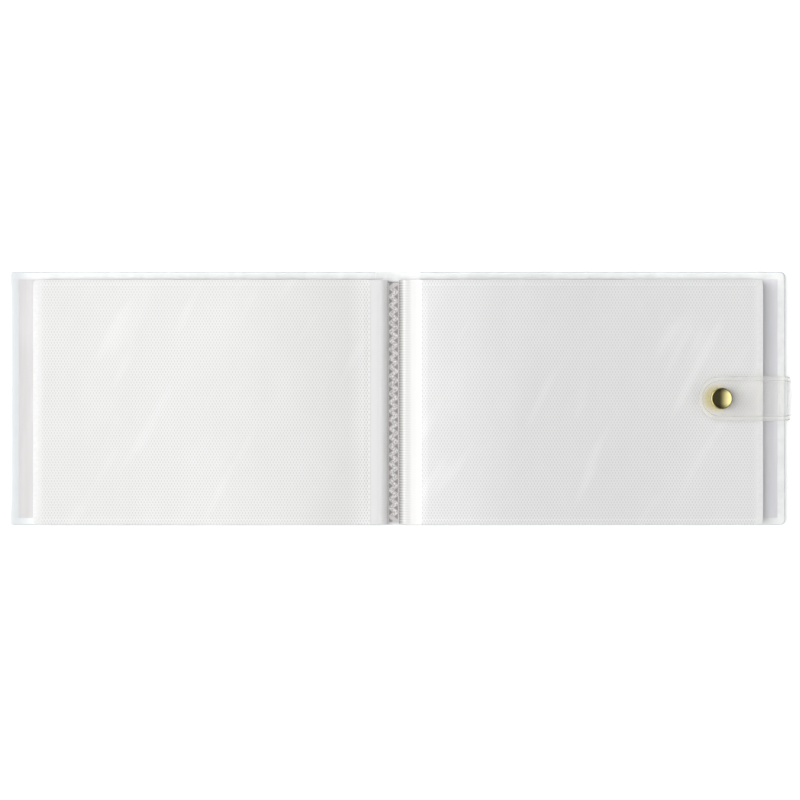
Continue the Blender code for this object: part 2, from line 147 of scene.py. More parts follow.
class AlbumSizes(bpy.types.PropertyGroup):
    """Sizes that a user of the album may change."""

    page_lift: FloatProperty(
        name="Page lift", description="How far a page arches near the gutter",
        default=2.6 * MM, min=0.0, max=4.0 * MM, unit="LENGTH",
    )
    weld_width: FloatProperty(
        name="Weld width", description="Heat-sealed border round each pocket",
        default=3.0 * MM, min=1.0 * MM, max=5.0 * MM, unit="LENGTH",
    )
    dot_pitch: FloatProperty(
        name="Dot pitch", description="Distance between embossed dots along a row",
        default=1.33 * MM, min=0.8 * MM, max=4.0 * MM, unit="LENGTH",
    )
    row_pitch: FloatProperty(
        name="Row pitch", description="Distance between rows of embossed dots",
        default=1.22 * MM, min=0.8 * MM, max=4.0 * MM, unit="LENGTH",
    )
    dot_shade: FloatProperty(
        name="Dot shade", description="Share of the film's colour that a sunk dot keeps",
        default=0.77, min=0.5, max=1.0, subtype="FACTOR",
    )
    rim_width: FloatProperty(
        name="Rim width", description="Heat-sealed rim of each cover",
        default=3.2 * MM, min=1.5 * MM, max=5.0 * MM, unit="LENGTH",
    )
    strap_weld: FloatProperty(
        name="Strap weld", description="Pressed border round the strap",
        default=1.9 * MM, min=1.0 * MM, max=4.0 * MM, unit="LENGTH",
    )


class AlbumColours(bpy.types.PropertyGroup):
    """Colours that a user of the album may change."""

    film: FloatVectorProperty(
        name="Film", description="Embossed pocket film of the left pages",
        subtype="COLOR", default=linear("#EEEEED"),
    )
    # Painted shade: the right pages' film is a greyer copy of the left pages' film, standing in for the
    # weaker light on the right page
    film_right_painted_shade: FloatVectorProperty(
        name="Film, right", description="Embossed pocket film of the right pages, a little greyer",
        subtype="COLOR", default=linear("#E6E6E6"),
    )
    weld: FloatVectorProperty(
        name="Weld", description="Sealed borders of the pockets", subtype="COLOR", default=linear("#E9EAE9")
    )
    # Whitened to the top of its range: painted light for the back cover's strip, which lies in the page
    # block's shadow
    vinyl: FloatVectorProperty(
        name="Vinyl", description="Clear cover sheet", subtype="COLOR", default=linear("#F7F7FB")
    )
    strap: FloatVectorProperty(
        name="Strap", description="Clear strap", subtype="COLOR", default=linear("#F4F2EC")
    )
    brass: FloatVectorProperty(
        name="Brass", description="Snap cap", subtype="COLOR", default=linear("#D4C88C")
    )


def fill_sockets(node, sockets):
    """Fill a node's sockets with values, or with other nodes' outputs."""
    for key, value in sockets.items():
        if isinstance(value, bpy.types.NodeSocket):
            node.id_data.links.new(value, node.inputs[key])
        else:
            node.inputs[key].default_value = value


def add_node(tree, kind, sockets=None, **settings):
    """Add a node with its settings, and fill its sockets."""
    node = tree.nodes.new(kind)
    for name, value in settings.items():
        setattr(node, name, value)
    fill_sockets(node, sockets or {})
    return node


def new_finish(name):
    """A material with its node tree, its Principled shader, and the place in the album that it shades."""
    finish = bpy.data.materials.new(name)
    finish.use_nodes = True
    tree = finish.node_tree
    place = add_node(tree, "ShaderNodeTexCoord").outputs["Object"]
    return finish, tree, tree.nodes["Principled BSDF"], place


def rgba(colour):
    """A colour as a socket takes it, with full alpha."""
    return (*colour, 1.0)


def wave_scale(period):
    """The scale at which a wave texture's bands are a period apart."""
    return math.tau / (20.0 * period)


def emboss_pattern(tree, place, sizes):
    """The rolled pattern of staggered rows: 1 in the middle of each dot, and less between them."""
    waves = []
    for direction, period in (("X", sizes.dot_pitch), ("Y", 2 * sizes.row_pitch)):
        wave = add_node(
            tree, "ShaderNodeTexWave", {"Vector": place, "Scale": wave_scale(period)},
            bands_direction=direction,
        )
        signed = add_node(
            tree, "ShaderNodeMapRange", {"Value": wave.outputs["Fac"], "To Min": -1.0, "To Max": 1.0}
        )
        waves.append(signed.outputs["Result"])
    stagger = add_node(tree, "ShaderNodeMath", {0: waves[0], 1: waves[1]}, operation="MULTIPLY")
    return stagger.outputs[0]


def embossed_film(name, colour, drawn, sizes):
    """Milky PVC film, rolled with a fine dot, and paler by a share near its margin: painted light on the
    page's shaded slope down into the gutter.
    """
    weld = PAGE_OUTER - sizes.weld_width
    fading, gone = weld - 2.0 * MM, weld + 0.3 * MM    # the emboss runs out before the welded strip
    line_inset, line_half = 2.2 * MM, 0.45 * MM
    glare_turn, glare_size = math.radians(-28.0), (11 * MM, 55 * MM, 1.0)
    haze_size = 35 * MM
    painted_light_from, even = 14.0 * MM, 23.0 * MM    # from the middle of the spine

    finish, tree, shader, place = new_finish(name)
    pattern = emboss_pattern(tree, place, sizes)
    dots = add_node(
        tree, "ShaderNodeMapRange", {"Value": pattern, "From Max": 0.8}, interpolation_type="SMOOTHSTEP"
    )
    split = add_node(tree, "ShaderNodeSeparateXYZ", {0: place})
    reach = add_node(tree, "ShaderNodeMath", {0: split.outputs["X"]}, operation="ABSOLUTE")
    full = add_node(
        tree, "ShaderNodeMapRange",
        {"Value": reach.outputs[0], "From Min": fading, "From Max": gone, "To Min": 1.0, "To Max": 0.0},
    )
    pressed = add_node(
        tree, "ShaderNodeMath", {0: dots.outputs["Result"], 1: full.outputs["Result"]}, operation="MULTIPLY"
    )
    # A dotted weld line runs round the pocket, a little in from its edges
    nearest = add_node(
        tree, "ShaderNodeMath", {0: PAGE_OUTER, 1: reach.outputs[0]}, operation="SUBTRACT"
    )
    for ends in ({0: split.outputs["Y"], 1: PAGE_BOTTOM}, {0: PAGE_TOP, 1: split.outputs["Y"]}):
        inset = add_node(tree, "ShaderNodeMath", ends, operation="SUBTRACT")
        nearest = add_node(
            tree, "ShaderNodeMath", {0: nearest.outputs[0], 1: inset.outputs[0]}, operation="MINIMUM"
        )
    on_line = add_node(
        tree, "ShaderNodeMath", {0: nearest.outputs[0], 1: line_inset, 2: line_half}, operation="COMPARE"
    )
    welded = add_node(
        tree, "ShaderNodeMapRange",
        {"Value": pattern, "From Min": -0.5, "From Max": 0.3, "To Min": 0.5, "To Max": 0.0},
    )
    stitch = add_node(
        tree, "ShaderNodeMath", {0: on_line.outputs[0], 1: welded.outputs["Result"]}, operation="MULTIPLY"
    )
    # Painted glare: long pale slanted streaks, for the reflections off the film's slow waves
    slant = add_node(
        tree, "ShaderNodeMapping",
        {"Vector": place, "Rotation": (0.0, 0.0, glare_turn), "Scale": glare_size},
        vector_type="TEXTURE",
    )
    glare_noise = add_node(
        tree, "ShaderNodeTexNoise", {"Vector": slant.outputs["Vector"], "Scale": 1.0, "Detail": 1.0}
    )
    painted_glare = add_node(
        tree, "ShaderNodeMapRange",
        {"Value": glare_noise.outputs["Fac"], "From Min": 0.58, "From Max": 0.78, "To Max": 0.22},
        interpolation_type="SMOOTHSTEP",
    )
    stitch_and_glare = add_node(
        tree, "ShaderNodeMath", {0: stitch.outputs[0], 1: painted_glare.outputs["Result"]}, operation="MAXIMUM"
    )
    haze = add_node(
        tree, "ShaderNodeTexNoise", {"Vector": place, "Scale": 1.0 / haze_size, "Detail": 2.0}
    )
    hazy = add_node(
        tree, "ShaderNodeMix",
        {
            "Factor": haze.outputs["Fac"],
            "A": rgba(colour), "B": rgba([0.94 * value for value in colour]),
        },
        data_type="RGBA",
    )
    # Painted light: near the margin the colour is raised by a share, to lift the shade where the page
    # curves down to the gutter
    beside = add_node(
        tree, "ShaderNodeMapRange",
        {
            "Value": reach.outputs[0], "From Min": painted_light_from, "From Max": even,
            "To Min": 1.0 + drawn, "To Max": 1.0,
        },
    )
    painted_lighter = add_node(
        tree, "ShaderNodeMix",
        {"Factor": 1.0, "A": hazy.outputs["Result"], "B": beside.outputs["Result"]},
        data_type="RGBA", blend_type="MULTIPLY",
    )
    tone = add_node(
        tree, "ShaderNodeMix",
        {
            "Factor": pressed.outputs[0], "A": painted_lighter.outputs["Result"],
            "B": rgba([sizes.dot_shade * value for value in colour]),
        },
        data_type="RGBA",
    )
    # The white of the dotted weld line, and the painted glare streaks
    stitch_and_glare_tone = add_node(
        tree, "ShaderNodeMix",
        {"Factor": stitch_and_glare.outputs[0], "A": tone.outputs["Result"], "B": rgba(linear("#FBFBFB"))},
        data_type="RGBA",
    )
    gloss = add_node(
        tree, "ShaderNodeMapRange", {"Value": haze.outputs["Fac"], "To Min": 0.22, "To Max": 0.45}
    )
    slack = add_node(
        tree, "ShaderNodeBump", {"Height": haze.outputs["Fac"], "Strength": 0.5, "Distance": 1.5 * MM}
    )
    bump = add_node(
        tree, "ShaderNodeBump",
        {
            "Height": pressed.outputs[0], "Strength": 0.3, "Distance": 0.06 * MM,
            "Normal": slack.outputs["Normal"],
        },
        invert=True,
    )
    fill_sockets(shader, {
        "Base Color": stitch_and_glare_tone.outputs["Result"], "Roughness": gloss.outputs["Result"],
        "Normal": bump.outputs["Normal"], "Alpha": 0.86,
    })
    return finish


def margin_painted_light_and_shade(sizes, name, band, flat, plain, drawn, low):
    """PVC film drawn down to the binding, where its emboss rows run out into fine lines; toward the band
    its colour moves from the plain colour to the second one: painted light on the left margin's slope,
    painted shade in the right margin's valley.
    """
    finish, tree, shader, place = new_finish(name)
    split = add_node(tree, "ShaderNodeSeparateXYZ", {0: place})
    rows = add_node(
        tree, "ShaderNodeTexWave",
        {
            "Vector": place, "Scale": wave_scale(sizes.row_pitch),
            "Distortion": 0.6, "Detail": 1.0, "Detail Scale": 2.0,
        },
        bands_direction="Y",
    )
    near = add_node(
        tree, "ShaderNodeMapRange",
        {"Value": split.outputs["X"], "From Min": band, "From Max": flat, "To Min": 1.0, "To Max": 0.0},
    )
    pull = add_node(
        tree, "ShaderNodeMapRange", {"Value": rows.outputs["Fac"], "To Min": low, "To Max": 1.0}
    )
    lines = add_node(
        tree, "ShaderNodeMath", {0: pull.outputs["Result"], 1: near.outputs["Result"]}, operation="MULTIPLY"
    )
    # The second colour paints the light on the left margin's slope and the shade in the right margin's
    # valley, strongest by the band
    tone = add_node(
        tree, "ShaderNodeMix",
        {"Factor": lines.outputs[0], "A": rgba(linear(plain)), "B": rgba(linear(drawn))},
        data_type="RGBA",
    )
    bump = add_node(
        tree, "ShaderNodeBump", {"Height": lines.outputs[0], "Strength": 0.2, "Distance": 0.1 * MM},
        invert=True,
    )
    fill_sockets(shader, {
        "Base Color": tone.outputs["Result"], "Normal": bump.outputs["Normal"],
        "Alpha": 0.9, "Roughness": 0.25,
    })
    return finish


def rippled_pvc(name, colour, alpha, ripple_size, fade, gloss, relief):
    """PVC in ripples of a size along X, Y and Z, which vary its colour, its roughness and its height."""
    finish, tree, shader, place = new_finish(name)
    drawn = add_node(
        tree, "ShaderNodeMapping", {"Vector": place, "Scale": [1.0 / size for size in ripple_size]}
    )
    ripple = add_node(
        tree, "ShaderNodeTexNoise", {"Vector": drawn.outputs["Vector"], "Scale": 1.0, "Detail": 3.0}
    )
    height = ripple.outputs["Fac"]
    faded = add_node(
        tree, "ShaderNodeMapRange",
        {"Value": height, "From Min": 0.3, "From Max": 0.7, "To Min": fade[0], "To Max": fade[1]},
    )
    tone = add_node(
        tree, "ShaderNodeMix",
        {"Factor": 1.0, "A": rgba(colour), "B": faded.outputs["Result"]},
        data_type="RGBA", blend_type="MULTIPLY",
    )
    rough = add_node(
        tree, "ShaderNodeMapRange", {"Value": height, "To Min": gloss[0], "To Max": gloss[1]}
    )
    bump = add_node(
        tree, "ShaderNodeBump", {"Height": height, "Strength": relief[0], "Distance": relief[1]}
    )
    fill_sockets(shader, {
        "Base Color": tone.outputs["Result"], "Roughness": rough.outputs["Result"],
        "Normal": bump.outputs["Normal"], "Alpha": alpha,
    })
    return finish


def plain_film(name, colour, alpha, width, length):
    """Smooth PVC film with the fine ripples that welding or stretching leaves, long along X."""
    ripple_size = (length, width, length)
    return rippled_pvc(name, colour, alpha, ripple_size, (0.93, 1.0), (0.12, 0.3), (0.4, 0.05 * MM))


def clear_vinyl(name, colour, alpha, patch, draw=1.0):
    """Press-polished clear PVC sheet: glossy, with the slow waves and smudges of soft vinyl."""
    ripple_size = (patch, draw * patch, patch)
    return rippled_pvc(name, colour, alpha, ripple_size, (0.94, 1.03), (0.05, 0.22), (0.25, 0.3 * MM))


def tint(finish, share, code):
    """Mix another colour into a finish, by a share that changes over it."""
    tree = finish.node_tree
    base = tree.nodes["Principled BSDF"].inputs["Base Color"]
    tone = add_node(
        tree, "ShaderNodeMix",
        {"Factor": share, "A": base.links[0].from_socket, "B": rgba(linear(code))}, data_type="RGBA",
    )
    tree.links.new(tone.outputs["Result"], base)


def sealed_rim():
    """Heat-sealed PVC rim: clear and white, cooler along the front cover's fore edge."""
    finish = clear_vinyl("sealed_pvc_rim", linear("#FCFDFD"), 0.92, 5 * MM)
    fore_edge = CAD_BOX[0][0]
    tree = finish.node_tree
    place = add_node(tree, "ShaderNodeTexCoord").outputs["Object"]
    split = add_node(tree, "ShaderNodeSeparateXYZ", {0: place})
    cool = add_node(
        tree, "ShaderNodeMapRange",
        {
            "Value": split.outputs["X"], "From Min": fore_edge + 2.0 * MM,
            "From Max": fore_edge + 12.0 * MM, "To Min": 1.0, "To Max": 0.0,
        },
    )
    tint(finish, cool.outputs["Result"], "#DCE0E2")
    return finish


def paint_brass_glow_round_snap(finish):
    """Painted reflection: tint the clear strap with the brass's colour beside the snap, and make it less
    clear there, for the light the brass throws onto it.
    """
    tree = finish.node_tree
    alpha = tree.nodes["Principled BSDF"].inputs["Alpha"]
    place = add_node(tree, "ShaderNodeTexCoord").outputs["Object"]
    low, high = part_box("snap_cap")
    centre = (low + high) / 2
    away = add_node(
        tree, "ShaderNodeVectorMath",
        {0: place, 1: (centre.x - 2.5 * MM, centre.y, TONGUE_HIGH.z)}, operation="DISTANCE",
    )
    brass_glow = add_node(
        tree, "ShaderNodeMapRange",
        {
            "Value": away.outputs["Value"], "From Min": 3.5 * MM, "From Max": 8.5 * MM,
            "To Min": 1.0, "To Max": 0.0,
        },
        interpolation_type="SMOOTHSTEP",
    )
    # Painted reflection: the brass's yellow on the strap, fading away from the snap
    tint(finish, brass_glow.outputs["Result"], "#D9CC84")
    clear = alpha.default_value
    glow_alpha = add_node(
        tree, "ShaderNodeMapRange",
        {"Value": brass_glow.outputs["Result"], "To Min": clear, "To Max": clear + 0.27},
    )
    tree.links.new(glow_alpha.outputs["Result"], alpha)


def fused_band():
    """Fused PVC of the binding, with painted light and shade by height: white ridges with white grain and
    painted glints, over a grey floor, and darker grey triangles, painted shade in the sunk corners.
    """
    ridge_foot, ridge_top = BINDING_HIGH.z - 0.4 * MM, BINDING_HIGH.z - 0.05 * MM
    grain_size, spark_size = 0.6 * MM, 0.7 * MM
    sunk_from, sunk_to = 1.3 * MM, 1.9 * MM    # from the zigzag's middle line
    rows_reach = 2.0 * MM    # of the triangles, from the band's middle
    centre = (BINDING_LOW + BINDING_HIGH) / 2
    half_pitch = ZIGZAG_PITCH / 2
    turns = int((BINDING_HIGH.y - BINDING_LOW.y - 2 * ZIGZAG_LINE) / half_pitch)
    start = centre.y - turns * half_pitch / 2

    finish, tree, shader, place = new_finish("fused_pvc_binding_painted_shade")
    split = add_node(tree, "ShaderNodeSeparateXYZ", {0: place})
    raised = add_node(
        tree, "ShaderNodeMapRange",
        {"Value": split.outputs["Z"], "From Min": ridge_foot, "From Max": ridge_top},
    )
    grain = add_node(
        tree, "ShaderNodeTexNoise", {"Vector": place, "Scale": 1.0 / grain_size, "Detail": 2.0}
    )
    # How far a place is from the zigzag's middle line, across the band
    along = add_node(tree, "ShaderNodeMath", {0: split.outputs["Y"], 1: start}, operation="SUBTRACT")
    turn = add_node(tree, "ShaderNodeMath", {0: along.outputs[0], 1: half_pitch}, operation="PINGPONG")
    line = add_node(
        tree, "ShaderNodeMapRange",
        {
            "Value": turn.outputs[0], "From Max": half_pitch,
            "To Min": centre.x - ZIGZAG_SWING, "To Max": centre.x + ZIGZAG_SWING,
        },
    )
    across = add_node(
        tree, "ShaderNodeMath", {0: split.outputs["X"], 1: line.outputs["Result"]}, operation="SUBTRACT"
    )
    off_line = add_node(tree, "ShaderNodeMath", {0: across.outputs[0]}, operation="ABSOLUTE")
    corner = add_node(
        tree, "ShaderNodeMapRange",
        {"Value": off_line.outputs[0], "From Min": sunk_from, "From Max": sunk_to},
    )
    # Painted shade: the triangles in the sunk corners are darkened for the shade that lies in them
    in_rows = add_node(
        tree, "ShaderNodeMath", {0: split.outputs["X"], 1: centre.x, 2: rows_reach}, operation="COMPARE"
    )
    shaded_triangle = add_node(
        tree, "ShaderNodeMath", {0: corner.outputs["Result"], 1: in_rows.outputs[0]}, operation="MULTIPLY"
    )
    floor = add_node(
        tree, "ShaderNodeMix",
        {"Factor": grain.outputs["Fac"], "A": rgba(linear("#C8C4C3")), "B": rgba(linear("#F2EFEE"))},
        data_type="RGBA",
    )
    shaded_sunk = add_node(
        tree, "ShaderNodeMix",
        {"Factor": shaded_triangle.outputs[0], "A": floor.outputs["Result"], "B": rgba(linear("#A29E9D"))},
        data_type="RGBA",
    )
    # White grain on the ridges, partly painted glints
    spark = add_node(
        tree, "ShaderNodeTexNoise", {"Vector": place, "Scale": 1.0 / spark_size, "Detail": 3.0}
    )
    white_grain_and_glints = add_node(
        tree, "ShaderNodeMapRange", {"Value": spark.outputs["Fac"], "From Min": 0.42, "From Max": 0.6}
    )
    ridge = add_node(
        tree, "ShaderNodeMix",
        {"Factor": white_grain_and_glints.outputs["Result"], "A": rgba(linear("#C6C2C1")), "B": rgba(linear("#FAF8F7"))},
        data_type="RGBA",
    )
    # Painted light and shade by height: ridges lighter, sunk parts darker
    tone = add_node(
        tree, "ShaderNodeMix",
        {"Factor": raised.outputs["Result"], "A": shaded_sunk.outputs["Result"], "B": ridge.outputs["Result"]},
        data_type="RGBA",
    )
    bump = add_node(
        tree, "ShaderNodeBump", {"Height": grain.outputs["Fac"], "Strength": 0.3, "Distance": 0.1 * MM}
    )
    fill_sockets(shader, {
        "Base Color": tone.outputs["Result"], "Normal": bump.outputs["Normal"], "Roughness": 0.3,
    })
    return finish


def polished_metal(name, colour, roughness):
    """Drawn and polished metal, with a few duller rubbed patches."""
    finish, tree, shader, place = new_finish(name)
    rub_size = 2.5 * MM
    rub = add_node(
        tree, "ShaderNodeTexNoise", {"Vector": place, "Scale": 1.0 / rub_size, "Detail": 4.0}
    )
    tone = add_node(
        tree, "ShaderNodeMix",
        {
            "Factor": rub.outputs["Fac"],
            "A": rgba(colour), "B": rgba([0.8 * value for value in colour]),
        },
        data_type="RGBA",
    )
    gloss = add_node(
        tree, "ShaderNodeMapRange",
        {"Value": rub.outputs["Fac"], "To Min": roughness, "To Max": roughness + 0.12},
    )
    fill_sockets(shader, {
        "Base Color": tone.outputs["Result"], "Roughness": gloss.outputs["Result"], "Metallic": 1.0,
    })
    return finish


def white_table():
    """Matt white laminate: reads as white to the camera and still takes the album's shadow."""
    finish, tree, shader, place = new_finish("matt_white_laminate")
    grain_size = 20 * MM
    grain = add_node(
        tree, "ShaderNodeTexNoise", {"Vector": place, "Scale": 1.0 / grain_size, "Detail": 2.0}
    )
    tone = add_node(
        tree, "ShaderNodeMix",
        {"Factor": grain.outputs["Fac"], "A": rgba(linear("#F6F6F6")), "B": rgba(linear("#F9F9F9"))},
        data_type="RGBA",
    )
    rays = add_node(tree, "ShaderNodeLightPath")
    seen = add_node(
        tree, "ShaderNodeMath",
        {0: rays.outputs["Is Camera Ray"], 1: rays.outputs["Is Glossy Ray"]}, operation="MAXIMUM",
    )
    through = add_node(
        tree, "ShaderNodeMath",
        {0: seen.outputs[0], 1: rays.outputs["Is Transmission Ray"]}, operation="MAXIMUM",
    )
    glow = add_node(tree, "ShaderNodeMapRange", {"Value": through.outputs[0], "To Max": 0.35})
    fill_sockets(shader, {
        "Base Color": tone.outputs["Result"], "Roughness": 0.6,
        "Emission Color": (1.0, 1.0, 1.0, 1.0), "Emission Strength": glow.outputs["Result"],
    })
    return finish


def finish_piece(name, shape, finishes, smooth=True):
    """An object from a bmesh whose places are in the album's frame."""
    bmesh.ops.recalc_face_normals(shape, faces=shape.faces)
    mesh = bpy.data.meshes.new(name)
    shape.to_mesh(mesh)
    shape.free()
    for finish in finishes:
        mesh.materials.append(finish)
    if smooth:
        mesh.shade_smooth()
        mesh.set_sharp_from_angle(angle=SHARP_ANGLE)
    piece = bpy.data.objects.new(name, mesh)
    bpy.context.scene.collection.objects.link(piece)
    return piece


def refinish(finish, *nodes):
    """Give CAD nodes that keep their shape a better finish."""
    for node in nodes:
        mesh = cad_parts[node].data
        mesh.materials.clear()
        mesh.materials.append(finish)


def slice_shape(shape, axis, places, **clear):
    """Cut edges across a shape at each place along one axis, so that it can bend there or end there."""
    normal = Vector((0.0, 0.0, 0.0))
    normal[axis] = 1.0
    for place in places:
        bmesh.ops.bisect_plane(
            shape, geom=[*shape.verts, *shape.edges, *shape.faces], dist=MERGE,
            plane_co=normal * place, plane_no=normal, **clear,
        )


def extrude(shape, faces):
    """Extrude faces, and give back the vertices of the new ones."""
    made = bmesh.ops.extrude_face_region(shape, geom=list(faces))
    return [item for item in made["geom"] if isinstance(item, bmesh.types.BMVert)]


def round_off(shape, geom, radius, segments, affect="EDGES", clamp=False):
    """Round edges, or the corners of a flat shape."""
    bmesh.ops.bevel(
        shape, geom=geom, offset=radius, offset_type="OFFSET", segments=segments,
        profile=0.5, affect=affect, clamp_overlap=clamp, material=-1,
    )


def steps(start, end, pitch):
    """Even places strictly between two ends."""
    count = max(1, round(abs(end - start) / pitch))
    return [start + (end - start) * i / count for i in range(1, count)]


def page_height(side, number, reach, lift):
    """Middle height of a leaf at a distance from the spine's centre: binding, margin, arched page."""
    inner = PAGE_INNER[side]
    level = sum(LEAF_LEVELS[side, number]) / 2
    width = PAGE_OUTER - inner
    slope = PAGE_ARCH * lift / width
    if reach >= inner:
        u = min((reach - inner) / width, 1.0)
        lie = u / (u + FLAT_SHARE) if side == "left" else 1.0
        return level + slope * width * u * (1.0 - u) ** 3 * lie
    start = BINDING_HIGH.x if side == "right" else -BINDING_LOW.x
    foot = MARGIN_FEET[side, number] + FILM / 2 + MARGIN_STEP * number
    t = min(max((reach - start) / (inner - start), 0.0), 1.0)
    dip = (1.0 - t) ** MARGIN_FALL
    rise = slope if side == "right" else 0.0
    return level - (level - foot) * dip + rise * (inner - start) * t * t * (t - 1.0)


def sheet_thickness(side, number, reach, y, weld):
    """Thickness of a leaf: one film in the margin, a pressed border, and the full pocket inside it."""
    inner = PAGE_INNER[side]
    if reach < inner - SAME_PLACE:
        return FILM
    low, high = LEAF_LEVELS[side, number]
    border = min(reach - inner, PAGE_OUTER - reach, y - PAGE_BOTTOM, PAGE_TOP - y)
    pressed = 0.4 * MM
    return pressed + (high - low - pressed) * ease(border / weld)


def leaf_shape(side, number, near, far, sizes):
    """One leaf's sheet from near to far of the spine: a flat plan with a welded strip, cut, then lifted."""
    inner = PAGE_INNER[side]
    shape = bmesh.new()
    weld = PAGE_OUTER - sizes.weld_width
    reaches = sorted({near, far, *[place for place in (inner, weld) if near < place < far]})
    columns = [
        [shape.verts.new((reach, y, 0.0)) for y in (PAGE_BOTTOM, PAGE_TOP)] for reach in reaches
    ]
    for left, right in zip(columns, columns[1:]):
        face = shape.faces.new((left[0], right[0], right[1], left[1]))
        middle = (left[0].co.x + right[0].co.x) / 2
        face.material_index = 1 if middle < inner else 0 if middle < weld else 2
    if far > inner:
        round_off(shape, columns[-1], PAGE_CORNER, 5, "VERTICES")
    # Faces are fine where the margin bends, and coarse over the page
    loop, bend = inner + 1.5 * MM, inner + 9.0 * MM
    fine, medium, coarse = 0.3 * MM, 0.6 * MM, 7.0 * MM
    cuts = [loop, bend, far - PAGE_CORNER / 2, far - PAGE_CORNER]
    for first, last, pitch in ((near, loop, fine), (loop, bend, medium), (bend, far, coarse)):
        cuts += steps(first, last, pitch)
    slice_shape(shape, 0, [cut for cut in cuts if near < cut < far])
    shoulder = 1.2 * MM
    rows = steps(PAGE_BOTTOM, PAGE_TOP, coarse) + [PAGE_BOTTOM + shoulder, PAGE_TOP - shoulder]
    slice_shape(shape, 1, rows)

    lower = list(shape.verts)
    upper = extrude(shape, shape.faces)
    sign = 1.0 if side == "right" else -1.0
    for verts, way in ((lower, -0.5), (upper, 0.5)):
        for vert in verts:
            reach, y, _ = vert.co
            thick = sheet_thickness(side, number, reach, y, sizes.weld_width)
            height = page_height(side, number, reach, sizes.page_lift)
            vert.co = (sign * reach, y, height + way * thick)
    return shape


class ALBUM_OT_leaves(bpy.types.Operator):
    """Make the ten leaves: embossed pockets with welded borders, and margins that dip to the binding"""

    bl_idname = "album.make_leaves"
    bl_label = "Make leaves"

    def execute(self, context):
        sizes, colours = context.scene.album_sizes, context.scene.album_colours
        # Painted light: the left film is paler by a share of 0.12 near its margin
        left_film = embossed_film("embossed_pvc_left_film_painted_light", colours.film, 0.12, sizes)
        # Painted shade: the right pages take the greyer copy of the film
        right_film = embossed_film("embossed_pvc_right_film_painted_shade", colours.film_right_painted_shade, 0.0, sizes)
        # Painted light: the left margin whitens toward the band, lifting the shade on its slope
        left_margin = margin_painted_light_and_shade(
            sizes, "pvc_left_margin_painted_light", BINDING_LOW.x - 2.0 * MM, BINDING_LOW.x - 4.5 * MM,
            "#E3E3E3", "#FFFFFF", 0.85,
        )
        # Painted shade: the right margin greys toward the band, for the gutter's shade; its plain film is
        # whiter for the light its slope faces
        right_margin = margin_painted_light_and_shade(
            sizes, "pvc_right_margin_painted_shade", BINDING_HIGH.x, BINDING_HIGH.x + 6.0 * MM,
            "#F4F4F2", "#828280", 0.72,
        )
        weld = plain_film("sealed_pvc_border", colours.weld, 0.9, 0.9 * MM, 1.6 * MM)
        left_finishes = [left_film, left_margin, weld]
        right_finishes = [right_film, right_margin, weld]
        for number in range(1, LEAVES + 1):
            start = BINDING_HIGH.x + MARGIN_GAP
            shape = leaf_shape("right", number, start, PAGE_OUTER, sizes)
            right = finish_piece(f"right_leaf_{number}", shape, right_finishes)
            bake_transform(right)
            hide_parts(*leaf_nodes("right", number), f"right_leaf_{number}_margin")

            shape = leaf_shape("left", number, MARGIN_SPLIT, PAGE_OUTER, sizes)
            left = finish_piece(f"left_leaf_{number}", shape, left_finishes)
            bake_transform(left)
            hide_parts(*leaf_nodes("left", number))

            start = -BINDING_LOW.x + MARGIN_GAP
            shape = leaf_shape("left", number, start, MARGIN_SPLIT, sizes)
            strip = finish_piece(f"left_margin_{number}", shape, left_finishes)
            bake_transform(strip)
            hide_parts(f"left_leaf_{number}_margin")
        return {"FINISHED"}


